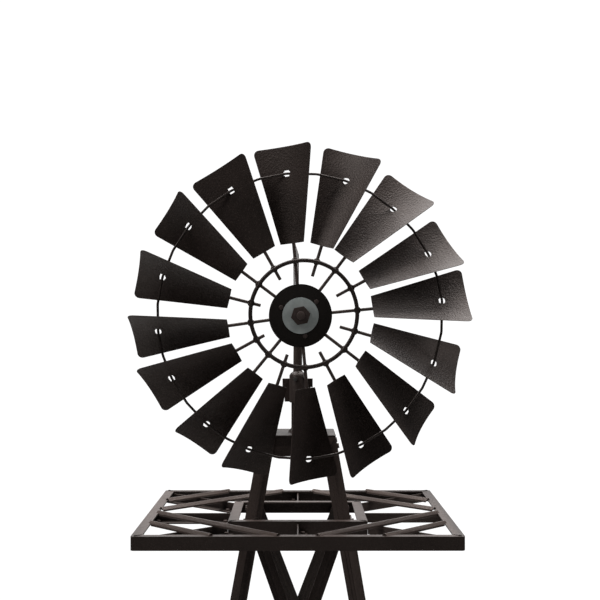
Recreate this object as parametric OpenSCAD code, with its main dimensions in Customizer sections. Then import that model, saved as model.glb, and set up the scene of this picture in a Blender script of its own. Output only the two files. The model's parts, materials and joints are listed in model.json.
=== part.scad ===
// Garden windmill: a splayed angle-iron tower with a square deck, a turning
// head with a tail vane, and a wheel of sixteen curved blades.
// Origin on the ground at the tower's centre, +Z up, wheel towards -Y.

/* [Tower] */
// Height of the wheel's axle above the ground
hub_z = 2130; // [2000:10:2300]
// Width across the legs under the top cap
cap_w = 153; // [140:1:170]
// How far each leg leans out, per unit of height
splay = 0.176; // [0.15:0.002:0.19]
// Flange width of the leg angles
leg_w = 32; // [30:1:38]
// Thickness of every angle and flat bar
bar_t = 3; // [2.5:0.5:3.5]
// Width of the flat braces and girts
brace_w = 25; // [20:1:26]

/* [Deck] */
// Outer width of the square deck
deck_w = 611; // [580:1:660]
// Height of the deck rails
rail_h = 26; // [24:1:28]
// Width of the deck rails' top flanges
rail_w = 20; // [18:1:24]
// Outer width of the inner frame
inner_w = 274; // [264:2:290]
// Width of the slanting deck bars
slat_w = 16; // [14:1:18]

/* [Wheel] */
// Distance from the mast's axis to the plane of the spokes
wheel_offset = 180; // [178:1:200]
// Radius at the blades' inner edges
root_r = 140; // [138:1:150]
// Radius of the outer ring
outer_ring_r = 275.5; // [260:0.5:285]
// Radius of the inner ring
inner_ring_r = 103; // [95:1:110]
// Width of a blade at its outer edge
tip_w = 134; // [120:1:136]
// Width of a blade at its inner edge
root_w = 53; // [46:1:56]
// Thickness of the blade sheet
blade_t = 1.2; // [1:0.1:2]
// Number of blades
blades = 16; // [16]

/* [Head] */
// Turn of the head away from square-on
head_turn = 1.6; // [0:0.1:5]
// Length of the tail from the mast's axis
tail_l = 760; // [700:10:800]
// Height of the tail vane at its far edge
tail_h = 430; // [360:10:460]

/* [Hidden] */
$fn = 48;
eps = 0.01;
small_gap = 0.3;
running = 0.05;

sides = ["front", "right", "rear", "left"];
corners = ["front_right", "rear_right", "rear_left", "front_left"];

// heights
cap_top = hub_z - 240.5;
cap_t = 3;
leg_top = cap_top - cap_t;
skirt_h = 38.5;
deck_top = hub_z - 403;
under_slats = deck_top - 5;
foot_t = 6;
sleeve_bottom = hub_z - 179;
sleeve_top = hub_z - 122;

// leg square: half its outer width at height z
function half(z) = cap_w / 2 + splay * (leg_top - z);
lean = atan(splay);
along = sqrt(1 + splay * splay);
flange_deep = bar_t * cos(lean);

// feet and anchors
foot_w = 80;
foot_over = 10;
anchor_r = 5.5;
anchor_at = 355;

// braces: bolts sit this far from a leg's corner
bolt_inset = 18.6;
bar_end = 8;
upper_brace_top = hub_z - 411;
brace_slope = 0.37;
function bolt_x(z) = half(z) - bolt_inset;
upper_brace_low = upper_brace_top - 2 * bolt_x(upper_brace_top) / (brace_slope - splay);
girt_z = upper_brace_low - 46;
lower_brace_top = girt_z - 46;
lower_brace_low = 90;
bolt_r = 3;
bolt_hole_r = 3.2;
bolt_head_r = 5.6;
bolt_head_h = 3.6;
nut_h = 4.5;

// deck
rail_corner_r = 6;
half_deck = deck_w / 2;
half_inner = inner_w / 2;
slat_h = 9;
slat_t = 1.5;

// mast and head
mast_r = 13.35;
mast_wall = 2.9;
sleeve_r = 17.5;
post_r = 9;
housing_r = 23;
bearing_r = 17.5;
axle_r = 8;
bearing_w = 12;
housing_back = -40;
housing_front = 125;
boom_r = 8;
vane_t = 1.5;
vane_front = 250;

// wheel: depths are measured forward from the mast's axis
spoke_r = 3.2;
ring_rod_r = 4;
wire_r = 2.5;
wire_bend_r = wire_r + 0.15;
plate_t = 3;
disc_r = 61;
washer_r = 35;
washer_t = 2.5;
nut_af = 33;
axle_nut_h = 12;
disc_front = wheel_offset + spoke_r + plate_t;
wheel_hole_r = 5.75;
// the wheel is welded and bent by hand: each list runs clockwise from the topmost blade
// angle of each spoke, counted from the right as seen from the front
spoke_angle = [95.4, 73.1, 52.5, 28.5, 5.5, -15.9, -37.6, -62.0,
               -84.9, -108.6, -129.4, -151.4, -172.0, -194.3, -217.0, -240.7];
screw_circle_r = 40.5;
screw_angles = [157, 41, 283];
// pitch of each blade
blade_pitch = [33, 32, 35, 39, 39, 44, 46, 40, 42, 46, 46, 42, 50, 46, 43, 26];
// how far each blade's middle sits from its spoke, clockwise along the sheet
blade_side = [1, 5.5, 4, 6, 0, 3, 5, 6, 12, 8, 4, 5, 3, 5, 5, 2];
// how far each blade leans back, in degrees, from the end of its spoke
blade_lean = [1, 6, 15, 9, 0, 13, 14, 9, 2, 6.5, 5, 9, 6, 4, 5, 2];
// radius at each blade's tip if it stood straight
tip_r = [328, 331, 335, 325, 324, 328, 326, 320, 316, 319, 320, 325, 325, 324, 327, 325];
// the inner ring's centre, right of and above the axle
inner_ring_off = [6.5, 3.5];
spoke_out_r = 163;
root_bend_r = 110;
tip_bend_r = 200;
tip_corner_r = 12;

blade_names = [for (i = [1 : blades]) str("blade_", i < 10 ? "0" : "", i)];

// ---------------------------------------------------------------- helpers

// an L-shaped outline with its corner at the origin
module angle_outline(w) {
    polygon([[0, 0], [w, 0], [w, bar_t], [bar_t, bar_t], [bar_t, w], [0, w]]);
}

// a rectangle with round corners
module round_bar(w, h, r) {
    square([w, h - 2 * r], center = true);
    square([w - 2 * r, h], center = true);
    for (x = [-1, 1], y = [-1, 1])
        translate([x * (w / 2 - r), y * (h / 2 - r)]) circle(r);
}

module round_square(w, r) {
    round_bar(w, w, r);
}

// the frame of one sloping tower face: x across, +z up the slope, -y outward
module on_face(k) {
    rotate([0, 0, 90 * k])
        translate([0, -half(leg_top), leg_top])
            rotate([-lean, 0, 0])
                children();
}

// distance down the slope of a face to height z
function down(z) = -(leg_top - z) * along;

// a cylinder along y from y0 to y1
module rod_y(r, y0, y1) {
    translate([0, y0, 0]) rotate([-90, 0, 0]) cylinder(r = r, h = y1 - y0);
}

// a hexagonal bolt through a stack of plates, head at -y
module bolt_y(y0, y1) {
    rod_y(bolt_r, y0 - eps, y1 + nut_h + 1.5);
    translate([0, y0 - bolt_head_h, 0])
        rotate([-90, 0, 0]) cylinder(r = bolt_head_r, h = bolt_head_h, $fn = 6);
    difference() {
        translate([0, y1, 0])
            rotate([-90, 0, 0]) cylinder(r = bolt_head_r, h = nut_h, $fn = 6);
        rod_y(bolt_r - eps, y1 - 1, y1 + nut_h + 1);
    }
}

// ---------------------------------------------------------------- tower

// one flange of a leg, given by its distances in from the leg's corner
module leg_flange(x0, x1, y0, y1) {
    hull()
        for (z = [foot_t, leg_top - eps])
            translate([half(z) - x1, -half(z) + y0, z])
                cube([x1 - x0, y1 - y0, eps]);
}

// heights of the bolts on each leg flange
brace_bolt_z = [upper_brace_top, upper_brace_low, girt_z, lower_brace_top, lower_brace_low];
cap_bolt_z = leg_top - skirt_h / 2;

// the holes through the faces either side of corner q
module leg_holes() {
    for (z = concat(brace_bolt_z, [cap_bolt_z])) {
        on_face(0)
            translate([bolt_x(z), 0, down(z)]) rod_y(bolt_hole_r, -5, 10);
        on_face(1)
            translate([-bolt_x(z), 0, down(z)]) rod_y(bolt_hole_r, -5, 10);
    }
}

module leg(q) {
    color("#2b2624")
        rotate([0, 0, 90 * q])
            difference() {
                union() {
                    leg_flange(0, leg_w, 0, bar_t);
                    leg_flange(0, bar_t, bar_t, leg_w);
                }
                leg_holes();
            }
}

module foot_plates() {
    out = half(0) + foot_over;
    color("#2b2624")
        for (q = [0 : 3])
            rotate([0, 0, 90 * q])
                difference() {
                    translate([out - foot_w, -out, 0]) cube([foot_w, foot_w, foot_t]);
                    translate([anchor_at, -anchor_at, -1]) cylinder(r = anchor_r, h = foot_t + 2);
                }
}

// a flat bar on a face, between two bolt places given as [x, height]
module face_bar(a, b, y0) {
    run = [b[0] - a[0], down(b[1]) - down(a[1])];
    turn = atan2(run[1], run[0]);
    difference() {
        translate([a[0], y0, down(a[1])])
            rotate([0, -turn, 0])
                translate([-bar_end, 0, -brace_w / 2])
                    cube([norm(run) + 2 * bar_end, bar_t, brace_w]);
        for (p = [a, b])
            translate([p[0], 0, down(p[1])]) rod_y(bolt_hole_r, y0 - 1, y0 + bar_t + 1);
        children();
    }
}

// height at which the two bars of a cross meet
function cross_z(top, low) = top - (top - low) * bolt_x(top) / (bolt_x(top) + bolt_x(low));

// two crossed bars, one outside the leg flanges and one inside them
module cross_pair(top, low) {
    for (side = [-1, 1])
        face_bar([side * bolt_x(top), top], [-side * bolt_x(low), low], side < 0 ? -bar_t : flange_deep)
            translate([0, 0, down(cross_z(top, low))]) rod_y(bolt_hole_r, -10, 15);
}

module upper_braces() {
    color("#2b2624")
        for (k = [0 : 3]) on_face(k) cross_pair(upper_brace_top, upper_brace_low);
}

module lower_braces() {
    color("#2b2624")
        for (k = [0 : 3]) on_face(k) cross_pair(lower_brace_top, lower_brace_low);
}

module girts() {
    x = bolt_x(girt_z);
    color("#2b2624")
        for (k = [0 : 3]) on_face(k) face_bar([-x, girt_z], [x, girt_z], -bar_t);
}

module tower_bolts() {
    inside = flange_deep;
    color("#4a3c38")
        for (k = [0 : 3]) on_face(k) {
            // outer bars: left at the top of a cross, right at its foot
            for (p = [[-1, upper_brace_top], [1, upper_brace_low],
                      [-1, lower_brace_top], [1, lower_brace_low],
                      [-1, girt_z], [1, girt_z]])
                translate([p[0] * bolt_x(p[1]), 0, down(p[1])]) bolt_y(-bar_t, inside);
            // inner bars
            for (p = [[1, upper_brace_top], [-1, upper_brace_low],
                      [1, lower_brace_top], [-1, lower_brace_low]])
                translate([p[0] * bolt_x(p[1]), 0, down(p[1])]) bolt_y(0, inside + bar_t);
            // crossings, with a spacer between the bars
            for (z = [cross_z(upper_brace_top, upper_brace_low),
                      cross_z(lower_brace_top, lower_brace_low)])
                translate([0, 0, down(z)]) {
                    bolt_y(-bar_t, inside + bar_t);
                    rod_y(8, 0, inside);
                }
            // the top cap's skirt
            for (side = [-1, 1])
                translate([side * bolt_x(cap_bolt_z), 0, down(cap_bolt_z)]) bolt_y(0, 2 * inside);
        }
}

// a square block that follows the slope of the legs, inset from their faces
module sloped_block(inset, top, low) {
    hull()
        for (z = [low, top - eps])
            translate([-half(z) + inset, -half(z) + inset, z])
                cube([2 * (half(z) - inset), 2 * (half(z) - inset), eps]);
}

module top_cap() {
    color("#2b2624")
        difference() {
            union() {
                translate([0, 0, leg_top]) linear_extrude(cap_t) round_square(cap_w, 3);
                sloped_block(bar_t, leg_top + eps, leg_top - skirt_h);
            }
            sloped_block(2 * bar_t, leg_top, leg_top - skirt_h - 1);
            for (k = [0 : 3]) on_face(k)
                for (side = [-1, 1])
                    translate([side * bolt_x(cap_bolt_z), 0, down(cap_bolt_z)])
                        rod_y(bolt_hole_r, -5, 12);
        }
}

// ---------------------------------------------------------------- deck

// a mitred angle rail along one side of a square, top flange inward
module mitred_rail(k, w, corner_r) {
    h = w / 2;
    rotate([0, 0, 90 * k])
        intersection() {
            translate([-h, -h, deck_top])
                rotate([90, 0, 90])
                    linear_extrude(w)
                        polygon([[0, 0], [rail_w, 0], [rail_w, -bar_t], [bar_t, -bar_t],
                                 [bar_t, -rail_h], [0, -rail_h]]);
            translate([0, 0, deck_top - rail_h])
                linear_extrude(rail_h) polygon([[0, 0], [-h, -h], [h, -h]]);
            translate([0, 0, deck_top - rail_h])
                linear_extrude(rail_h) round_square(w, corner_r);
            // the upright flange's ends are rounded too
            translate([0, 0, deck_top - rail_h / 2])
                rotate([90, 0, 0])
                    linear_extrude(w, center = true) round_bar(w, rail_h, corner_r * 0.7);
        }
}

module deck_rail(k) {
    color("#2b2624") mitred_rail(k, deck_w, rail_corner_r);
}

// the inner frame is welded into one square
module inner_frame() {
    color("#2b2624")
        for (k = [0 : 3]) mitred_rail(k, inner_w, 2);
}

joist_w = 20;

// an angle bar along +x with its upright flange on the centre line
module joist(from, to) {
    translate([from, -bar_t / 2, under_slats - joist_w])
        rotate([90, 0, 90])
            linear_extrude(to - from) angle_outline(joist_w);
}

hip_from = half_inner * sqrt(2) + 1;
hip_to = (half_deck - bar_t) * sqrt(2) - joist_w;

module hip_bars() {
    color("#2b2624")
        for (k = [0 : 3]) rotate([0, 0, 45 + 90 * k]) joist(hip_from, hip_to);
}

module mid_joists() {
    color("#2b2624")
        for (k = [0 : 3]) rotate([0, 0, 90 * k]) joist(half_inner, half_deck - bar_t);
}

// half of a folded bar's outline: a narrow ridge, a sloping side and an upright skirt
slat_half = [[1.5, slat_h], [slat_w / 2, slat_h * 0.4], [slat_w / 2, 0],
             [slat_w / 2 - slat_t, 0], [slat_w / 2 - slat_t, slat_h * 0.32], [1, slat_h - slat_t]];

// a folded bar, open below, from a to b
module slat(a, b) {
    run = b - a;
    other_half = [for (i = [len(slat_half) - 1 : -1 : 0]) [-slat_half[i][0], slat_half[i][1]]];
    translate([a[0], a[1], under_slats])
        rotate([0, 0, atan2(run[1], run[0])])
            rotate([90, 0, 90])
                linear_extrude(norm(run)) polygon(concat(slat_half, other_half));
}

// places of the slats in one quarter of the deck, as parts of its width
long_slat = [[0.468, 0.036], [0.059, 0.485]] * deck_w;
short_slat = [[0.468, 0.245], [0.26, 0.485]] * deck_w;

module deck_slats() {
    rim = half_deck - rail_w - small_gap;
    color("#332c29")
        difference() {
            for (mx = [0, 1], my = [0, 1])
                mirror([mx, 0, 0]) mirror([0, my, 0])
                    for (s = [long_slat, short_slat]) slat(s[0], s[1]);
            // the ends are notched over the rails' top flanges
            for (k = [0 : 3]) rotate([0, 0, 90 * k])
                translate([-half_deck, -half_deck - 1, deck_top - 20])
                    cube([deck_w, half_deck - rim + 1, 20 + eps]);
        }
}

// small bolts through the ends of the joists and hips
module deck_bolts() {
    color("#4a3c38")
        for (k = [0 : 3]) {
            rotate([0, 0, 90 * k])
                for (x = [half_inner + 12, half_deck - 18])
                    translate([x, joist_w / 2, under_slats - joist_w + bar_t]) cylinder(r = 4.5, h = 4, $fn = 6);
            rotate([0, 0, 45 + 90 * k])
                for (x = [hip_from + 12, hip_to - 14])
                    translate([x, joist_w / 2, under_slats - joist_w + bar_t]) cylinder(r = 4.5, h = 4, $fn = 6);
        }
}

// ---------------------------------------------------------------- mast

mast_top = sleeve_top - 5;
thrust_h = 4.6;
pin_hole_z = hub_z - 203;

module mast() {
    color("#2b2624")
        difference() {
            translate([0, 0, cap_top]) cylinder(r = mast_r, h = mast_top - cap_top);
            translate([0, 0, cap_top - 1]) cylinder(r = mast_r - mast_wall, h = mast_top - cap_top + 2);
            translate([0, 0, pin_hole_z]) rotate([0, 0, -58]) rod_y(2.2, -20, 0);
        }
}

module mast_collar() {
    color("#2b2624")
        rotate_extrude()
            translate([0, cap_top])
                polygon([[mast_r, 0], [20, 0], [19, 3], [mast_r, 9]]);
}

module thrust_washer() {
    color("#8a7a4a")
        translate([0, 0, mast_top])
            difference() {
                cylinder(r = mast_r - 0.5, h = thrust_h);
                translate([0, 0, -1]) cylinder(r = 5, h = thrust_h + 2);
            }
}

// ---------------------------------------------------------------- head

// the head's own frame: axle along y, wheel towards -y, origin on the mast's axis at hub height
module in_head() {
    translate([0, 0, hub_z]) rotate([0, 0, head_turn]) children();
}

// places of the sleeve's screws: turn about the mast, height in the head frame
screw_places = [[-17, -130], [48, -125.5], [180, -150]];
screw_sink = 3;

module swivel_sleeve() {
    low = sleeve_bottom - hub_z;
    high = sleeve_top - hub_z;
    color("#2b2624")
        in_head()
            difference() {
                rotate_extrude()
                    polygon([[0, high], [mast_r + running, high], [mast_r + running, low],
                             [sleeve_r, low], [sleeve_r, high], [post_r + 5, high + 4],
                             [post_r, high + 8], [0, high + 8]]);
                for (p = screw_places)
                    rotate([0, 0, p[0]]) translate([0, 0, p[1]]) rod_y(3, -sleeve_r - 5, -sleeve_r + screw_sink);
            }
}

module sleeve_screws() {
    color("#8b8783")
        in_head()
            for (p = screw_places)
                rotate([0, 0, p[0]]) translate([0, 0, p[1]]) {
                    rod_y(3, -sleeve_r - 1, -sleeve_r + screw_sink);
                    rotate([90, 0, 0]) translate([0, 0, sleeve_r + 0.3]) cylinder(r = 4.6, h = 3.5, $fn = 6);
                }
}

module head_post() {
    low = sleeve_top + 8 - hub_z;
    color("#2b2624")
        in_head()
            difference() {
                translate([0, 0, low]) cylinder(r = post_r, h = -low);
                rod_y(housing_r, -40, 40);
            }
}

module axle_housing() {
    color("#2b2624")
        in_head()
            difference() {
                rod_y(housing_r, -housing_front, -housing_back);
                rod_y(bearing_r, -housing_front - 1, -housing_back + 1);
            }
}

rear_bearing = -15;
front_bearing = housing_front - bearing_w - 1;

module axle_bearings() {
    color("#8f9290")
        in_head()
            for (w = [rear_bearing, front_bearing])
                difference() {
                    rod_y(bearing_r, -w - bearing_w, -w);
                    rod_y(axle_r + running, -w - bearing_w - 1, -w + 1);
                }
}

module housing_cap() {
    color("#2b2624") in_head() rod_y(housing_r, -housing_back, -housing_back + 6);
}

module tail_boom() {
    color("#2b2624") in_head() rod_y(boom_r, -housing_back + 6, tail_l - 60);
}

bracket_y = sleeve_r;
bracket_t = 5;
bracket_top = -130.5;

module tail_bracket() {
    color("#2b2624")
        in_head()
            difference() {
                union() {
                    translate([-31.5, bracket_y - 6, bracket_top - 18]) cube([63, bracket_t + 6, 18]);
                    translate([-27, bracket_y - 6, bracket_top - 48]) cube([54, bracket_t + 6, 30]);
                }
                translate([0, 0, -200]) cylinder(r = sleeve_r, h = 100);
                translate([0, 0, -150]) rotate([0, 0, 180]) rod_y(5, -sleeve_r - 20, -sleeve_r + 3);
            }
}

stay_w = 20;
stay_low = [bracket_y + bracket_t, bracket_top - 24];
stay_high = [330, -boom_r];

// a flat stay on edge from the bracket up to the underside of the boom
module tail_stay() {
    color("#2b2624")
        in_head()
            translate([-bar_t / 2, 0, 0])
                rotate([90, 0, 90])
                    linear_extrude(bar_t)
                        polygon([stay_low + [0, stay_w / 2], stay_high - [stay_w, 0],
                                 stay_high + [stay_w, 0], stay_low - [0, stay_w / 2]]);
}

// rivets that hold the vane to the boom
rivet_y = [vane_front + 30, (vane_front + tail_l) / 2 - 30, tail_l - 100];

module tail_vane() {
    front_h = tail_h * 0.66;
    notch = 90;
    color("#332c29")
        in_head()
            translate([boom_r, 0, 0])
                rotate([90, 0, 90])
                    linear_extrude(vane_t)
                        difference() {
                            polygon([[vane_front, -front_h / 2], [vane_front, front_h / 2],
                                     [tail_l, tail_h / 2], [tail_l - notch, 0], [tail_l, -tail_h / 2]]);
                            for (y = rivet_y) translate([y, 0]) circle(bolt_hole_r);
                        }
}

module tail_bolts() {
    color("#4a3c38")
        in_head()
            for (y = rivet_y)
                translate([boom_r, y, 0]) rotate([0, 90, 0]) {
                    cylinder(r = bolt_r, h = vane_t + 1);
                    translate([0, 0, vane_t]) cylinder(r = bolt_head_r, h = bolt_head_h, $fn = 6);
                }
}

// ---------------------------------------------------------------- wheel

// the wheel's frame: origin at the middle of the spokes' plane
module in_wheel() {
    in_head() translate([0, -wheel_offset, 0]) children();
}

// turns children from straight up to the angle a, seen from the front
module at_angle(a) {
    rotate([0, 90 - a, 0]) children();
}

axle_back = -28;
axle_front = disc_front + washer_t + axle_nut_h + 6;

module axle() {
    color("#4a3c38")
        in_head() {
            rod_y(axle_r, -axle_front + 2, -axle_back);
            translate([0, -axle_front + 2, 0])
                rotate([90, 0, 0]) cylinder(r1 = axle_r, r2 = axle_r - 2, h = 2);
        }
}

module shaft_collar() {
    color("#8f9290")
        in_head()
            difference() {
                rod_y(14, -rear_bearing + small_gap, -rear_bearing + small_gap + 9);
                rod_y(axle_r, 0, 60);
            }
}

// the boss stands on the axle behind the spokes, with its plate against them
module hub_boss() {
    plate_back = wheel_offset - spoke_r - plate_t;
    color("#2b2624")
        in_head()
            difference() {
                union() {
                    rod_y(disc_r - 3, -wheel_offset + spoke_r, -plate_back);
                    rod_y(21, -plate_back, -housing_front - 0.4);
                }
                rod_y(axle_r, -wheel_offset, -housing_front);
            }
}

module hub_disc() {
    color("#161311")
        in_wheel()
            difference() {
                rod_y(disc_r, -spoke_r - plate_t, -spoke_r);
                rod_y(axle_r, -20, 0);
                for (a = screw_angles)
                    at_angle(a) translate([0, 0, screw_circle_r]) rod_y(2, -20, 0);
            }
}

module hub_washer() {
    color("#7d8683")
        in_head()
            difference() {
                rod_y(washer_r, -disc_front - washer_t, -disc_front);
                rod_y(axle_r, -disc_front - 20, -disc_front + 1);
            }
}

module axle_nut() {
    back = disc_front + washer_t;
    color("#4a3c38")
        in_head()
            difference() {
                intersection() {
                    translate([0, -back, 0])
                        rotate([90, 0, 0])
                            rotate([0, 0, 12]) cylinder(r = nut_af / sqrt(3), h = axle_nut_h, $fn = 6);
                    translate([0, -back, 0])
                        rotate([90, 0, 0]) cylinder(r1 = 32, r2 = nut_af / 2, h = axle_nut_h + 1.4);
                }
                rod_y(axle_r, -back - 30, -back + 1);
            }
}

module disc_screws() {
    color("#4a3c38")
        in_wheel()
            for (a = screw_angles)
                at_angle(a) translate([0, 0, screw_circle_r]) {
                    rod_y(2, -spoke_r - plate_t, -spoke_r + 2);
                    translate([0, -spoke_r - plate_t, 0])
                        rotate([90, 0, 0]) cylinder(r1 = 4.6, r2 = 3.2, h = 2.4);
                }
}

module ring(r, rod) {
    rotate([90, 0, 0]) rotate_extrude() translate([r, 0]) circle(rod);
}

// the inner ring stands in front of the spokes that are welded to it
weld_sink = 1.4;

module inner_ring() {
    color("#2b2624")
        in_wheel()
            translate([inner_ring_off[0], -(spoke_r + ring_rod_r - weld_sink), inner_ring_off[1]])
                ring(inner_ring_r, ring_rod_r);
}

blade_stand = spoke_r + blade_t / 2 + 0.1;

// middle of blade i's ring hole in its spoke's frame
function hole_at(i) =
    let (p = blade_pitch[i], back = (outer_ring_r - spoke_out_r) * tan(blade_lean[i]) - blade_stand)
    [blade_side[i] * cos(p) + back * sin(p), -blade_side[i] * sin(p) + back * cos(p), outer_ring_r];

// the wire's path: angle, radius and depth at each hole, and evenly between the holes
hole_polar = [for (i = [0 : blades - 1]) let (h = hole_at(i))
    [spoke_angle[i] - atan2(h[0], h[2]), norm([h[0], h[2]]), h[1]]];
wire_steps = 2;
function wire_polar(k) =
    let (i = floor(k / wire_steps) % blades, f = (k % wire_steps) / wire_steps,
         next = hole_polar[(i + 1) % blades] - (i == blades - 1 ? [360, 0, 0] : [0, 0, 0]))
    hole_polar[i] * (1 - f) + next * f;
function wire_point(k) =
    let (w = wire_polar(k)) [w[1] * cos(w[0]), w[2], w[1] * sin(w[0])];

module outer_ring() {
    last = blades * wire_steps - 1;
    color("#2b2624")
        in_wheel()
            for (k = [0 : last]) {
                from = wire_point(k);
                run = wire_point((k + 1) % (last + 1)) - from;
                translate(from)
                    rotate([0, acos(run[2] / norm(run)), atan2(run[1], run[0])]) {
                        sphere(wire_bend_r, $fn = 24);
                        cylinder(r = wire_r, h = norm(run), $fn = 24);
                    }
            }
}

long_spoke_in_r = 24;
short_spoke_in_r = 79;

module spokes(first, from) {
    color("#2b2624")
        in_wheel()
            for (i = [first : 2 : blades - 1])
                at_angle(spoke_angle[i])
                    translate([0, 0, from]) cylinder(r = spoke_r, h = spoke_out_r - from);
}

module long_spokes() {
    spokes(0, long_spoke_in_r);
}

module short_spokes() {
    spokes(1, short_spoke_in_r);
}

// outline of a blade: narrow at the root, round corners at the tip
module blade_outline(tip) {
    r = tip_corner_r;
    // half the angle between the blade's sides
    flare = atan((tip_w - root_w) / 2 / (tip - root_r));
    cx = tip_w / 2 - r * (1 + sin(flare)) / cos(flare);
    steps = 6;
    turns = [for (k = [0 : steps]) -flare + (90 + flare) * k / steps];
    right = [for (t = turns) [cx + r * cos(t), tip - r + r * sin(t)]];
    left = [for (k = [steps : -1 : 0]) [-right[k][0], right[k][1]]];
    polygon(concat([[root_w / 2, root_r]], right, left, [[-root_w / 2, root_r]]));
}

// a cone that the sheet is rolled round, tighter at the root
module rolling_cone(extra) {
    rise = max(tip_r) - root_r + 40;
    open = atan((tip_bend_r - root_bend_r) / rise);
    h = rise / cos(open) + 60;
    translate([0, -root_bend_r * cos(open), root_r - 20 - root_bend_r * sin(open)])
        rotate([open, 0, 0])
            cylinder(r1 = root_bend_r + extra, r2 = root_bend_r + h * tan(open) + extra, h = h);
}

module blade(i) {
    hole = hole_at(i);
    color("#3a322f")
        in_wheel() at_angle(spoke_angle[i])
            difference() {
                rotate([0, 0, -blade_pitch[i]])
                    translate([blade_side[i], -blade_stand, spoke_out_r])
                        rotate([-blade_lean[i], 0, 0])
                            translate([0, 0, -spoke_out_r])
                                difference() {
                                    intersection() {
                                        rolling_cone(blade_t / 2);
                                        translate([0, 10, 0])
                                            rotate([90, 0, 0]) linear_extrude(60) blade_outline(tip_r[i]);
                                    }
                                    rolling_cone(-blade_t / 2);
                                }
                translate([hole[0], 0, hole[2]]) rod_y(wheel_hole_r, -60, 60);
            }
}

// ---------------------------------------------------------------- the parts

for (q = [0 : 3])
    leg(q);
foot_plates();
upper_braces();
lower_braces();
girts();
top_cap();
tower_bolts();
for (k = [0 : 3])
    deck_rail(k);
inner_frame();
hip_bars();
mid_joists();
deck_slats();
deck_bolts();
mast();
mast_collar();
thrust_washer();
swivel_sleeve();
sleeve_screws();
head_post();
axle_housing();
axle_bearings();
housing_cap();
tail_boom();
tail_bracket();
tail_stay();
tail_vane();
tail_bolts();
axle();
shaft_collar();
hub_boss();
hub_disc();
hub_washer();
axle_nut();
disc_screws();
inner_ring();
outer_ring();
long_spokes();
short_spokes();
for (i = [0 : blades - 1])
    blade(i);
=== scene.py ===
import json
import math

import bmesh
import bpy
import numpy as np
from mathutils import Matrix, Vector, noise

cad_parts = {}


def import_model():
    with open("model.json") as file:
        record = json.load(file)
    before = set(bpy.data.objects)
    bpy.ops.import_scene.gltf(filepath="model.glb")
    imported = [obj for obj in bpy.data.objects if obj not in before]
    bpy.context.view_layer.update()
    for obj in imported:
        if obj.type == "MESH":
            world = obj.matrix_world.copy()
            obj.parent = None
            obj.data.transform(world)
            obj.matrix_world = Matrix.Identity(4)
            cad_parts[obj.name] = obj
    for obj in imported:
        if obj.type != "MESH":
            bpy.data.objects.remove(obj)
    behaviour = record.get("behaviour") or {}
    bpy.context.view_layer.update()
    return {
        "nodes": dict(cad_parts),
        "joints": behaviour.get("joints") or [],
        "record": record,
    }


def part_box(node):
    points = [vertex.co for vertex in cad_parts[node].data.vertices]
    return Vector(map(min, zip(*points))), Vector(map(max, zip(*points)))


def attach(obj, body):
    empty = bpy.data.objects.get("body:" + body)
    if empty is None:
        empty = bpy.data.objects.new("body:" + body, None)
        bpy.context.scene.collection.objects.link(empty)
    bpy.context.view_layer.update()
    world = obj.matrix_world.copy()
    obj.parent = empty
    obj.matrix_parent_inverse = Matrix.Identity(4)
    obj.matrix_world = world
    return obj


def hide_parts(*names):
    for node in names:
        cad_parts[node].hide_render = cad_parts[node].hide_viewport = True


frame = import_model()

# ------------------------------------------------------------------ frames and sizes

MM = 0.001
JOINTS = {j["name"]: j for j in frame["joints"]}
AXLE_DIR = Vector(JOINTS["wheel_spin"]["axis"])
WHEEL_AT = Vector(JOINTS["wheel_spin"]["pos_m"])
HUB_Z = WHEEL_AT.z
# the wheel's frame: x to the right and z up as seen from the front, -y forward
TURN = math.atan2(AXLE_DIR.x, -AXLE_DIR.y)
WHEEL = Matrix.Translation(WHEEL_AT) @ Matrix.Rotation(TURN, 4, "Z")
# the head's frame: the same directions, with its origin on the mast's axis
HEAD = Matrix.Translation((0, 0, HUB_Z)) @ Matrix.Rotation(TURN, 4, "Z")

BLADES = 16
# as in the CAD, clockwise from the topmost: each spoke's angle, and each blade's pitch, its shift
# along the sheet, its lean backwards and the radius of its tip if it stood straight
SPOKE_ANGLE = [95.4, 73.1, 52.5, 28.5, 5.5, -15.9, -37.6, -62.0,
               -84.9, -108.6, -129.4, -151.4, -172.0, -194.3, -217.0, -240.7]
PITCH = [33, 32, 35, 39, 39, 44, 46, 40, 42, 46, 46, 42, 50, 46, 43, 26]
SIDE = [1, 5.5, 4, 6, 0, 3, 5, 6, 12, 8, 4, 5, 3, 5, 5, 2]
LEAN = [1, 6, 15, 9, 0, 13, 14, 9, 2, 6.5, 5, 9, 6, 4, 5, 2]
TIP_R = [328, 331, 335, 325, 324, 328, 326, 320, 316, 319, 320, 325, 325, 324, 327, 325]
ROOT_R = 140 * MM
TIP_W, ROOT_W = 134 * MM, 53 * MM
TIP_CORNER = 12 * MM
SHEET_T = 1.2 * MM
SPOKE_R = 3.2 * MM
OUTER_RING_R, WIRE_R = 275.5 * MM, 2.5 * MM
INNER_RING_R, ROD_R = 103 * MM, 4 * MM
INNER_RING_OFF = (6.5 * MM, 3.5 * MM)
# the inner ring is welded on in front of the spokes and sinks a little into them
RING_FORWARD = SPOKE_R + ROD_R - 1.4 * MM
LONG_SPOKE_START, SHORT_SPOKE_START, SPOKE_OUT_R = 24 * MM, 79 * MM, 163 * MM
# the sheets lie behind the spokes
BLADE_STAND = SPOKE_R + SHEET_T / 2 + 0.1 * MM
HOLE_R = 5.75 * MM
# the sheet is rolled: its radius of bend at the root, and how much it grows outwards
BEND_ROOT_R, BEND_GAIN = 126.8 * MM, 0.4054


def inner_ring_at(degrees):
    """Distance from the axle at which the inner ring meets a spoke."""
    c, s = math.cos(math.radians(degrees)), math.sin(math.radians(degrees))
    x, z = INNER_RING_OFF
    return x * c + z * s + math.sqrt(INNER_RING_R ** 2 - (x * s - z * c) ** 2)


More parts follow.
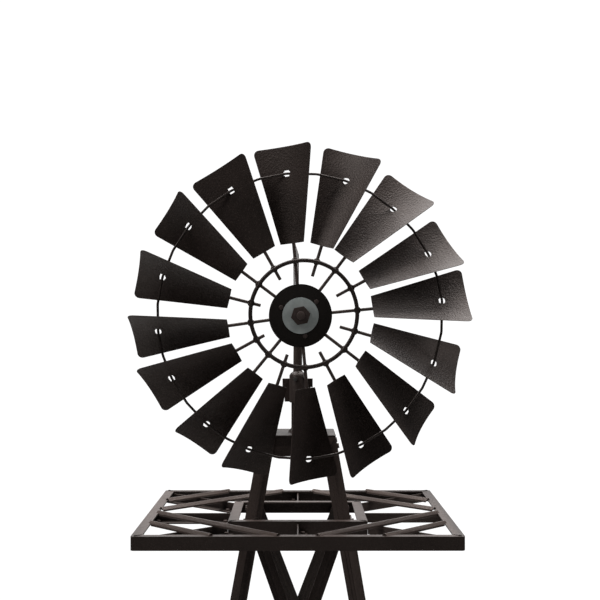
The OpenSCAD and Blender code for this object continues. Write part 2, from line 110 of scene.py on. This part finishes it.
def at_angle(degrees):
    """The frame whose z axis points outwards at an angle in the wheel, seen from the front."""
    return Matrix.Rotation(math.radians(90 - degrees), 4, "Y")


# ------------------------------------------------------------------ materials


class Nodes:
    """A material's node tree, with short calls to add and link nodes."""

    def __init__(self, name):
        self.material = bpy.data.materials.new(name)
        self.material.use_nodes = True
        self.tree = self.material.node_tree
        self.shader = self.tree.nodes["Principled BSDF"]
        coords = self.add("ShaderNodeTexCoord")
        self.place = coords.outputs["Object"]

    def add(self, kind, **values):
        node = self.tree.nodes.new(kind)
        for key, value in values.items():
            if hasattr(node, key):
                setattr(node, key, value)
            else:
                node.inputs[key.replace("_", " ")].default_value = value
        return node

    def link(self, source, target):
        self.tree.links.new(source, target)

    def noise(self, scale, detail=3.0, roughness=0.55):
        node = self.add("ShaderNodeTexNoise", Scale=scale, Detail=detail, Roughness=roughness)
        self.link(self.place, node.inputs["Vector"])
        return node.outputs["Fac"]

    def cells(self, scale):
        node = self.add("ShaderNodeTexVoronoi", feature="SMOOTH_F1", Scale=scale)
        node.inputs["Smoothness"].default_value = 0.7
        self.link(self.place, node.inputs["Vector"])
        return node.outputs["Distance"]

    def ramp(self, source, low, high, stops=(0.35, 0.65)):
        node = self.add("ShaderNodeValToRGB")
        a, b = node.color_ramp.elements
        a.position, b.position = stops
        a.color, b.color = (*low, 1), (*high, 1)
        self.link(source, node.inputs["Fac"])
        return node.outputs["Color"]

    def span(self, source, low, high):
        node = self.add("ShaderNodeMapRange")
        node.inputs["To Min"].default_value = low
        node.inputs["To Max"].default_value = high
        self.link(source, node.inputs["Value"])
        return node.outputs["Result"]

    def mix(self, factor, a, b):
        node = self.add("ShaderNodeMix", data_type="RGBA")
        self.link(factor, node.inputs["Factor"])
        for value, socket in ((a, node.inputs[6]), (b, node.inputs[7])):
            if isinstance(value, tuple):
                socket.default_value = (*value, 1)
            else:
                self.link(value, socket)
        return node.outputs[2]

    def bump(self, height, distance, strength=1.0, under=None):
        node = self.add("ShaderNodeBump", Distance=distance, Strength=strength)
        self.link(height, node.inputs["Height"])
        if under is not None:
            self.link(under, node.inputs["Normal"])
        return node.outputs["Normal"]

    def set(self, **values):
        for key, value in values.items():
            socket = self.shader.inputs[key.replace("_", " ")]
            if hasattr(value, "is_output"):
                self.link(value, socket)
            else:
                socket.default_value = (*value, 1) if isinstance(value, tuple) else value


BLACK, WHITE = (0, 0, 0), (1, 1, 1)


def hammered(name, dark, light, fleck_and_edge_highlight, rough=(0.36, 0.52), dimple=3.4, depth=0.4, shine=0.42):
    """Dark powder coat with a hammered skin: dimples, flecks in two tones and a painted highlight
    that lightens the convex edges.

    The size of the dimples and their depth are in millimetres."""
    m = Nodes(name)
    cells = m.cells(1000 / dimple)
    patches = m.noise(9.0, 4.0)
    flecks = m.noise(520.0, 2.0, 0.6)
    base = m.mix(m.ramp(patches, BLACK, WHITE), dark, light)
    fleck = m.ramp(flecks, BLACK, (0.5, 0.5, 0.5), (0.56, 0.74))
    # the flecks are the coat's own; the same light colour is also used below for the painted edge
    # highlight
    base = m.mix(fleck, base, fleck_and_edge_highlight)
    # painted highlight on the edges: lighter where the surface bends outwards, as if rounded edges
    # caught the light
    geometry = m.add("ShaderNodeNewGeometry")
    rim = m.ramp(geometry.outputs["Pointiness"], BLACK, (0.8, 0.8, 0.8), (0.52, 0.60))
    base = m.mix(rim, base, fleck_and_edge_highlight)
    m.set(Base_Color=base, Roughness=m.span(m.noise(60.0, 3.0), *rough), Metallic=0.0)
    m.set(Specular_IOR_Level=shine, Specular_Tint=(1.0, 0.86, 0.80))
    skin = m.bump(cells, depth * MM)
    m.set(Normal=m.bump(m.noise(900.0, 2.0), 0.05 * MM, 1.0, skin))
    return m.material


def plain_metal(name, dark, light, rough=(0.3, 0.5), metallic=1.0):
    """Bare or plated metal with blotches and a fine grain."""
    m = Nodes(name)
    blotch = m.noise(45.0, 5.0, 0.65)
    fine = m.noise(700.0, 2.0)
    m.set(Base_Color=m.mix(m.ramp(blotch, BLACK, WHITE), dark, light))
    m.set(Roughness=m.span(fine, *rough), Metallic=metallic)
    m.set(Normal=m.bump(fine, 0.04 * MM))
    return m.material


COATS = [
    # name, dark tone, light tone, flecks and painted edge highlight, and what differs from the
    # usual skin
    ("frame_bronze", (0.012, 0.0085, 0.0075), (0.020, 0.0145, 0.0125), (0.10, 0.075, 0.066), {}),
    ("blade_bronze", (0.016, 0.0115, 0.0100), (0.034, 0.0245, 0.0215), (0.14, 0.105, 0.092), {}),
    ("slat_bronze", (0.036, 0.026, 0.023), (0.060, 0.044, 0.038), (0.15, 0.115, 0.10), {}),
    ("disc_black", (0.0022, 0.0019, 0.0017), (0.0040, 0.0034, 0.0031), (0.020, 0.017, 0.015),
     dict(rough=(0.45, 0.6), depth=0.12, shine=0.2)),
    ("bolt_bronze", (0.032, 0.024, 0.021), (0.054, 0.040, 0.036), (0.13, 0.10, 0.09),
     dict(dimple=3.0, depth=0.08)),
]
METALS = [
    # name, dark tone, light tone, and what differs from plain steel
    ("zinc", (0.34, 0.37, 0.36), (0.46, 0.495, 0.48), dict(rough=(0.42, 0.6), metallic=0.2)),
    ("screw_steel", (0.10, 0.10, 0.095), (0.26, 0.25, 0.24), {}),
    ("bearing_steel", (0.30, 0.31, 0.31), (0.45, 0.46, 0.46), dict(rough=(0.2, 0.35))),
    ("thrust_bronze", (0.30, 0.22, 0.10), (0.42, 0.32, 0.16), {}),
]
MATERIALS = {name: hammered(name, *tones, **rest) for name, *tones, rest in COATS}
MATERIALS.update({name: plain_metal(name, *tones, **rest) for name, *tones, rest in METALS})
SLOT_OF = {s["node"]: s["material_slot"] for s in frame["record"]["subparts"]}

# ------------------------------------------------------------------ helpers for pieces

BODIES = frame["record"]["behaviour"]["bodies"]


def body_of(node):
    return next(body for body, members in BODIES.items() if node in members)


def piece(name, mesh, body, slot, *nodes):
    """Links a mesh as a piece on a body, with a slot's material, in place of CAD nodes."""
    obj = bpy.data.objects.new(name, mesh)
    bpy.context.scene.collection.objects.link(obj)
    mesh.materials.clear()
    mesh.materials.append(MATERIALS[slot])
    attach(obj, body)
    if nodes:
        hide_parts(*nodes)
    return obj


def finish_mesh(bm, name, smooth_angle=35):
    """Turns a bmesh into a mesh, smooth but for edges sharper than the angle."""
    bmesh.ops.recalc_face_normals(bm, faces=bm.faces)
    mesh = bpy.data.meshes.new(name)
    bm.to_mesh(mesh)
    bm.free()
    mesh.shade_smooth()
    mesh.set_sharp_from_angle(angle=math.radians(smooth_angle))
    return mesh


def round_edges(obj, width, segments=2, angle=30):
    """Rounds the edges that are sharper than the angle."""
    bevel = obj.modifiers.new("round_edges", "BEVEL")
    bevel.width = width
    bevel.segments = segments
    bevel.limit_method = "ANGLE"
    bevel.angle_limit = math.radians(angle)
    bevel.use_clamp_overlap = True
    bevel.harden_normals = True


def eased(node, width, segments=2):
    """A flat-sided CAD node again, with its edges rounded."""
    bm = bmesh.new()
    bm.from_mesh(frame["nodes"][node].data)
    bmesh.ops.remove_doubles(bm, verts=bm.verts, dist=0.01 * MM)
    bmesh.ops.join_triangles(bm, faces=bm.faces, angle_face_threshold=math.radians(1),
                             angle_shape_threshold=3.1)
    name = node + "_skin"
    obj = piece(name, finish_mesh(bm, name), body_of(node), SLOT_OF[node], node)
    round_edges(obj, width, segments)


def span_in(node, matrix):
    """Lowest and highest corner of a CAD node in another frame."""
    inverse = matrix.inverted()
    points = np.array([inverse @ v.co for v in frame["nodes"][node].data.vertices])
    return points.min(0), points.max(0)


def lathe(bm, outline, matrix, segments=96):
    """Turns a closed outline of (radius, distance along y) round the frame's y axis."""
    rings = []
    for r, y in outline:
        if r < 1e-6:
            rings.append([bm.verts.new(matrix @ Vector((0, y, 0)))])
            continue
        turns = [2 * math.pi * k / segments for k in range(segments)]
        circle = [Vector((r * math.sin(t), y, r * math.cos(t))) for t in turns]
        rings.append([bm.verts.new(matrix @ point) for point in circle])
    for a, b in zip(rings, rings[1:] + rings[:1]):
        if len(a) == 1 and len(b) == 1:
            continue
        for k in range(segments):
            n = (k + 1) % segments
            corners = [a[k % len(a)], a[n % len(a)], b[n % len(b)], b[k % len(b)]]
            bm.faces.new(list(dict.fromkeys(corners)))


def chamfered(r, y0, y1, c, bore=0.0):
    """The outline of a disc or tube with its outer edges taken off."""
    return [(bore, y0), (r - c, y0), (r - 0.3 * c, y0 + 0.3 * c), (r, y0 + c),
            (r, y1 - c), (r - 0.3 * c, y1 - 0.3 * c), (r - c, y1), (bore, y1)]


def turned(node, matrix, c=0.8 * MM, bore=0.0, segments=96, outline=None):
    """A round CAD node again, finely turned. Its size is the node's own."""
    lo, hi = span_in(node, matrix)
    r = (hi[2] - lo[2]) / 2
    turned_piece(node, outline or chamfered(r, lo[1], hi[1], c, bore), matrix, segments)


def turned_piece(node, outline, matrix, segments):
    """Links an outline, turned round the frame's y axis, as the piece for a node."""
    bm = bmesh.new()
    lathe(bm, outline, matrix, segments)
    name = node + "_turned"
    piece(name, finish_mesh(bm, name, smooth_angle=40), body_of(node), SLOT_OF[node], node)


def rod(bm, start, end, r, segments=16):
    """A straight rod with slightly domed ends."""
    axis = (end - start).normalized()
    turn = axis.to_track_quat("Y", "Z").to_matrix().to_4x4()
    length = (end - start).length
    outline = [(0, 0), (r * 0.8, 0), (r, r * 0.25),
               (r, length - r * 0.25), (r * 0.8, length), (0, length)]
    lathe(bm, outline, Matrix.Translation(start) @ turn, segments)


def skin_loops(bm, loops):
    """Closes a row of equal point loops into the skin of a ring."""
    for a, b in zip(loops, loops[1:] + loops[:1]):
        for m in range(len(a)):
            n = (m + 1) % len(a)
            bm.faces.new([a[m], a[n], b[n], b[m]])


def ring(radius, r, matrix, around=224, across=20):
    """A closed rod ring in the frame's xz plane."""
    bm = bmesh.new()
    loops = []
    for k in range(around):
        a = 2 * math.pi * k / around
        loop = []
        for m in range(across):
            b = 2 * math.pi * m / across
            w = radius + r * math.cos(b)
            point = Vector((w * math.cos(a), r * math.sin(b), w * math.sin(a)))
            loop.append(bm.verts.new(matrix @ point))
        loops.append(loop)
    skin_loops(bm, loops)
    return bm


def tube(path, r, matrix, across=20, bend=5):
    """A closed tube along a path of straight lengths, each corner eased over a few loops."""
    ease = 1.6 * r
    smooth = []
    for k, at in enumerate(path):
        before, after = path[k - 1], path[(k + 1) % len(path)]
        start = at + (before - at).normalized() * ease
        end = at + (after - at).normalized() * ease
        for step in range(bend):
            t = step / (bend - 1)
            smooth.append(start * (1 - t) ** 2 + at * 2 * t * (1 - t) + end * t ** 2)
    angles = [2 * math.pi * m / across for m in range(across)]
    bm = bmesh.new()
    loops = []
    for k, at in enumerate(smooth):
        ahead = (smooth[(k + 1) % len(smooth)] - smooth[k - 1]).normalized()
        side = ahead.cross(Vector((0, 1, 0))).normalized()
        up = side.cross(ahead)
        circle = [at + side * r * math.cos(t) + up * r * math.sin(t) for t in angles]
        loops.append([bm.verts.new(matrix @ point) for point in circle])
    skin_loops(bm, loops)
    return bm


def bead(bm, matrix, sizes, seed):
    """One blob of weld metal, an uneven ellipsoid."""
    made = bmesh.ops.create_icosphere(bm, subdivisions=3, radius=1.0)
    for v in made["verts"]:
        ripple = 1 + 0.10 * noise.noise(v.co * 2.3 + Vector((seed * 7.1, 0, 0)))
        v.co = matrix @ Vector([c * s * ripple for c, s in zip(v.co, sizes)])


# ------------------------------------------------------------------ wheel


def half_width(r, tip):
    """Half the blade's width at a radius, with the tip's round corners."""
    w = (ROOT_W + (TIP_W - ROOT_W) * (r - ROOT_R) / (tip - ROOT_R)) / 2
    over = r - (tip - TIP_CORNER)
    if over > 0:
        w -= TIP_CORNER - math.sqrt(max(TIP_CORNER ** 2 - over ** 2, 0))
    return w


def sheet_point(u, r):
    """A point of the sheet in the blade's own frame: u across, r outwards, hollow to the front."""
    bend = BEND_ROOT_R + BEND_GAIN * (r - ROOT_R)
    return Vector((u, -(bend - math.sqrt(bend * bend - u * u)), r))


def sheet_frame(i):
    """A blade's own frame: pitched about its spoke, and leaning back from the spoke's end."""
    pitched = WHEEL @ at_angle(SPOKE_ANGLE[i]) @ Matrix.Rotation(math.radians(-PITCH[i]), 4, "Z")
    pivot = Matrix.Translation((SIDE[i] * MM, -BLADE_STAND, SPOKE_OUT_R))
    lean = Matrix.Rotation(math.radians(-LEAN[i]), 4, "X")
    return pitched @ pivot @ lean @ Matrix.Translation((0, 0, -SPOKE_OUT_R))


def hole_along(i):
    """Distance along a blade's middle line to the wire's hole."""
    return SPOKE_OUT_R + (OUTER_RING_R - SPOKE_OUT_R) / math.cos(math.radians(LEAN[i]))


def blade(i):
    """A rolled sheet with the wire's hole, as a grid whose points near the hole lie on its rim."""
    tip = TIP_R[i] * MM
    matrix = sheet_frame(i)
    hole_z = hole_along(i)
    # the CAD's hole runs along the axle, so it's wider across the pitched sheet
    wide = HOLE_R / math.cos(math.radians(PITCH[i]))
    columns, rows, corner_rows = 44, 72, 7
    # in hole radii: points within the first are left out, and those within the second are moved
    left_out, drawn_in = 0.80, 1.35

    def off_hole(u, r):
        return math.hypot(u / wide, (r - hole_z) / HOLE_R)

    def settle(u, r):
        """Draws a point near the hole onto its rim, and one further out a little towards it."""
        d = off_hole(u, r)
        if 0 < d < drawn_in:
            k = 1 / d if d < 1 else 1 + (1 - d) * 0.7 * (drawn_in - d) / (drawn_in - 1)
            return u * k, hole_z + (r - hole_z) * k
        return u, r

    straight_end = tip - TIP_CORNER
    radii = [ROOT_R + (straight_end - ROOT_R) * k / rows for k in range(rows + 1)]
    radii += [straight_end + TIP_CORNER * math.sin(math.pi / 2 * k / corner_rows)
              for k in range(1, corner_rows + 1)]
    bm = bmesh.new()
    grid = []
    for r in radii:
        across = [(2 * c / columns - 1) * half_width(r, tip) for c in range(columns + 1)]
        grid.append([None if off_hole(u, r) < left_out
                     else bm.verts.new(matrix @ sheet_point(*settle(u, r))) for u in across])
    for a, b in zip(grid, grid[1:]):
        for c in range(columns):
            corners = [a[c], a[c + 1], b[c + 1], b[c]]
            if all(corners):
                bm.faces.new(corners)
    name = f"blade_{i + 1:02d}_sheet"
    mesh = finish_mesh(bm, name, smooth_angle=60)
    obj = piece(name, mesh, "wheel", "blade_bronze", f"blade_{i + 1:02d}")
    solid = obj.modifiers.new("sheet", "SOLIDIFY")
    solid.thickness = SHEET_T
    solid.offset = 0
    round_edges(obj, 0.3 * MM, angle=50)


def spokes(name, node, first, start):
    """Every second spoke from the first, from a distance off the axle to under the blades."""
    bm = bmesh.new()
    for i in range(first, BLADES, 2):
        m = WHEEL @ at_angle(SPOKE_ANGLE[i])
        rod(bm, m @ Vector((0, 0, start)), m @ Vector((0, 0, SPOKE_OUT_R)), SPOKE_R)
    piece(name, finish_mesh(bm, name), "wheel", SLOT_OF[node], node)


def outer_wire():
    """The wire through the blades' holes, in straight lengths with round bends as in the CAD."""
    lengths = 2  # between one blade and the next
    polar = []
    for i in range(BLADES):
        at = WHEEL.inverted() @ sheet_frame(i) @ Vector((0, 0, hole_along(i)))
        spoke = math.radians(SPOKE_ANGLE[i])
        off_spoke = (math.atan2(at.z, at.x) - spoke + math.pi) % (2 * math.pi) - math.pi
        polar.append((spoke + off_spoke, math.hypot(at.x, at.z), at.y))
    polar.append((polar[0][0] - 2 * math.pi, polar[0][1], polar[0][2]))
    path = []
    for a, b in zip(polar, polar[1:]):
        for step in range(lengths):
            turn, r, y = (p + (q - p) * step / lengths for p, q in zip(a, b))
            path.append(Vector((r * math.cos(turn), y, r * math.sin(turn))))
    mesh = finish_mesh(tube(path, WIRE_R, WHEEL), "outer_ring_wire")
    piece("outer_ring_wire", mesh, "wheel", "frame_bronze", "outer_ring")


def inner_rod():
    """The thick ring that is welded to the spokes, slightly off the axle."""
    x, z = INNER_RING_OFF
    centre = WHEEL @ Matrix.Translation((x, -RING_FORWARD, z))
    mesh = finish_mesh(ring(INNER_RING_R, ROD_R, centre), "inner_ring_rod")
    piece("inner_ring_rod", mesh, "wheel", "frame_bronze", "inner_ring")


def in_mm(*values):
    """Sizes that are given in millimetres, in the script's own unit."""
    return tuple(v * MM for v in values)


def wheel_welds():
    """Weld beads where the spokes cross the inner ring, and along each blade's root."""
    bm = bmesh.new()
    for i in range(BLADES):
        m = WHEEL @ at_angle(SPOKE_ANGLE[i])
        cross = inner_ring_at(SPOKE_ANGLE[i])
        for side in (-1, 1):
            outside = Matrix.Translation((side * 3.4 * MM, -3.0 * MM, cross + 3.6 * MM))
            turn = Matrix.Rotation(side * 0.7, 4, "Y")
            bead(bm, m @ outside @ turn, in_mm(4.6, 2.8, 2.6), i * 2 + side)
            inside = Matrix.Translation((side * 3.2 * MM, -3.0 * MM, cross - 3.2 * MM))
            bead(bm, m @ inside @ turn.inverted(), in_mm(3.2, 2.4, 2.0), i * 2 + side + 80)
        root = Matrix.Translation((0, -0.6 * MM, ROOT_R + 4 * MM))
        bead(bm, m @ root, in_mm(3.8, 2.9, 6), i + 40)
    piece("wheel_welds", finish_mesh(bm, "wheel_welds"), "wheel", "frame_bronze")


def wheel():
    for i in range(BLADES):
        blade(i)
    spokes("long_spoke_rods", "long_spokes", 0, LONG_SPOKE_START)
    spokes("short_spoke_rods", "short_spokes", 1, SHORT_SPOKE_START)
    outer_wire()
    inner_rod()
    wheel_welds()


def hub():
    bore = span_in("axle", HEAD)[1][2]
    turned("hub_disc", WHEEL, 0.9 * MM, bore, segments=128)
    turned("hub_washer", HEAD, 0.5 * MM, bore, segments=112)
    turned("axle", HEAD, 1.6 * MM, segments=48)
    lo, hi = span_in("hub_boss", HEAD)
    r = (hi[2] - lo[2]) / 2
    flange, boss, c = 3 * MM, 21 * MM, 0.8 * MM
    step = lo[1] + flange
    outline = [(bore, lo[1]), (r - c, lo[1]), (r, lo[1] + c), (r, step - c), (r - c, step),
               (boss + 4 * MM, step), (boss + 1 * MM, step + 1.2 * MM), (boss, step + 4 * MM),
               (boss, hi[1] - 1 * MM), (boss - 1 * MM, hi[1]), (bore, hi[1])]
    turned("hub_boss", HEAD, outline=outline)
    eased("axle_nut", 0.8 * MM, 3)
    eased("disc_screws", 0.4 * MM, 2)


# ------------------------------------------------------------------ head


def standing(node, c=0.5 * MM, bore=0.0, outline=None, segments=72):
    """A round CAD node that stands upright on the mast's axis."""
    upright = Matrix.Rotation(math.radians(90), 4, "X")
    lo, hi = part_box(node)
    r = (hi.x - lo.x) / 2
    turned_piece(node, outline or chamfered(r, lo.z, hi.z, c, bore), upright, segments)


def head():
    """The turned parts of the head and the mast, and the flat-sided parts of the tail."""
    low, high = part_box("swivel_sleeve")
    r, bore, post = 17.5 * MM, 13.4 * MM, 9 * MM
    top = high.z - 8 * MM  # above it the sleeve narrows to the post
    sleeve = [(bore, low.z), (r - 0.8 * MM, low.z), (r, low.z + 0.8 * MM), (r, top - 1.2 * MM),
              (r - 0.6 * MM, top), (post + 5 * MM, top + 4 * MM), (post + 2.4 * MM, top + 5.2 * MM),
              (post + 0.4 * MM, high.z), (0, high.z), (0, top), (bore, top)]
    standing("swivel_sleeve", outline=sleeve)
    turned("housing_cap", HEAD, 1.4 * MM)
    turned("tail_boom", HEAD, 1.2 * MM, segments=48)
    turned("axle_housing", HEAD, 1.2 * MM, 17.5 * MM)
    standing("mast", bore=10.45 * MM)
    low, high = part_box("mast_collar")
    mast, foot = 13.35 * MM, 20 * MM
    collar = [(mast, low.z), (foot - 0.6 * MM, low.z), (foot, low.z + 0.8 * MM),
              (foot - 1 * MM, low.z + 2.6 * MM), (foot - 3.4 * MM, low.z + 5.0 * MM),
              (mast + 0.8 * MM, high.z - 1 * MM), (mast, high.z)]
    standing("mast_collar", outline=collar)
    for node in ("sleeve_screws", "tail_bracket", "tail_stay", "tail_vane", "tail_bolts"):
        eased(node, 0.5 * MM)


# ------------------------------------------------------------------ tower

# how far the edges of the tower's nodes are rounded, and in how many steps
EASE = {
    "leg": (1.0 * MM, 3),
    "deck_rail inner_frame hip_bars mid_joists deck_slats foot_plates top_cap": (0.8 * MM, 2),
    "upper_braces lower_braces girts": (0.7 * MM, 2),
    "tower_bolts deck_bolts": (0.4 * MM, 1),
}


def tower():
    for node in BODIES["tower"]:
        for names, (width, segments) in EASE.items():
            if node.startswith(tuple(names.split())):
                eased(node, width, segments)


def deck_welds():
    """Blobs of weld on the mitred corners of the deck and the inner frame."""
    bm = bmesh.new()
    seed = 200
    for node, inset in (("deck_rail_front", 7 * MM), ("inner_frame", 5 * MM)):
        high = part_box(node)[1]
        for x, y in ((-1, -1), (1, -1), (1, 1), (-1, 1)):
            turn = Matrix.Rotation(math.atan2(y, x), 4, "Z")
            for step, size in ((0, 1.0), (5 * MM, 0.7), (9 * MM, 0.5)):
                reach = high.x - inset - step
                at = Matrix.Translation((x * reach, y * reach, high.z))
                bead(bm, at @ turn, in_mm(4.2 * size, 3.0 * size, 1.8 * size), seed)
                seed += 1
    piece("deck_welds", finish_mesh(bm, "deck_welds"), "tower", "disc_black")


# ------------------------------------------------------------------ camera, light and floor


def camera():
    """A long lens square to the tower, a little below hub height, aimed slightly up."""
    distance, below_hub = 2.547, 0.008
    up, right = 0.924, 0.103  # degrees
    data = bpy.data.cameras.new("camera")
    data.lens, data.sensor_width = 73.6, 36  # mm
    data.clip_end = 50
    obj = bpy.data.objects.new("camera", data)
    obj.location = (0, -distance, HUB_Z - below_hub)
    obj.rotation_euler = (math.radians(90 + up), 0, math.radians(-right))
    bpy.context.scene.collection.objects.link(obj)
    bpy.context.scene.camera = obj


def world():
    """White behind and dark elsewhere, so that faces towards the front stay dark.

    The camera itself sees plain white."""
    w = bpy.data.worlds.new("studio")
    bpy.context.scene.world = w
    w.use_nodes = True
    tree = w.node_tree
    back = tree.nodes["Background"]
    out = tree.nodes["World Output"]
    coords = tree.nodes.new("ShaderNodeTexCoord")
    split = tree.nodes.new("ShaderNodeSeparateXYZ")
    tree.links.new(coords.outputs["Generated"], split.inputs[0])
    ramp = tree.nodes.new("ShaderNodeMapRange")
    ramp.interpolation_type = "SMOOTHSTEP"
    rise = {"From Min": 0.86, "From Max": 0.985, "To Min": 0.06, "To Max": 1.15}
    for key, value in rise.items():
        ramp.inputs[key].default_value = value
    tree.links.new(split.outputs["Y"], ramp.inputs["Value"])
    tree.links.new(ramp.outputs["Result"], back.inputs["Strength"])
    back.inputs["Color"].default_value = (1, 1, 1, 1)
    white = tree.nodes.new("ShaderNodeBackground")
    white.inputs["Strength"].default_value = 1.35
    path = tree.nodes.new("ShaderNodeLightPath")
    mix = tree.nodes.new("ShaderNodeMixShader")
    tree.links.new(path.outputs["Is Camera Ray"], mix.inputs["Fac"])
    tree.links.new(back.outputs[0], mix.inputs[1])
    tree.links.new(white.outputs[0], mix.inputs[2])
    tree.links.new(mix.outputs[0], out.inputs["Surface"])


def softbox(name, place, target, size, watts):
    data = bpy.data.lights.new(name, "AREA")
    data.shape = "RECTANGLE"
    data.size, data.size_y = size
    data.energy = watts
    obj = bpy.data.objects.new(name, data)
    obj.location = place
    obj.rotation_euler = (Vector(target) - Vector(place)).to_track_quat("-Z", "Y").to_euler()
    bpy.context.scene.collection.objects.link(obj)


def lights():
    """A large soft light overhead, and a small one on each side in front."""
    aim = (0, 0, HUB_Z)
    softbox("overhead", (0, 0.6, HUB_Z + 2.2), aim, (3.0, 3.0), 160)
    softbox("upper_left", (-2.2, -1.6, HUB_Z + 1.8), aim, (1.2, 1.2), 26)
    softbox("upper_right", (2.4, -1.2, HUB_Z + 1.6), aim, (1.2, 1.2), 9)


def floor():
    bm = bmesh.new()
    bmesh.ops.create_circle(bm, cap_ends=True, radius=3.6, segments=96)
    mesh = bpy.data.meshes.new("floor")
    bm.to_mesh(mesh)
    bm.free()
    obj = bpy.data.objects.new("floor", mesh)
    bpy.context.scene.collection.objects.link(obj)
    m = Nodes("pale_floor")
    grain = m.noise(4.0, 3.0)
    m.set(Base_Color=m.mix(grain, (0.72, 0.72, 0.71), (0.80, 0.80, 0.79)), Roughness=0.8)
    mesh.materials.append(m.material)


camera()
world()
lights()
floor()
for node, obj in frame["nodes"].items():
    obj.material_slots[0].link = "OBJECT"
    obj.material_slots[0].material = MATERIALS[SLOT_OF[node]]
tower()
deck_welds()
head()
wheel()
hub()
bpy.context.scene.view_settings.view_transform = "Standard"
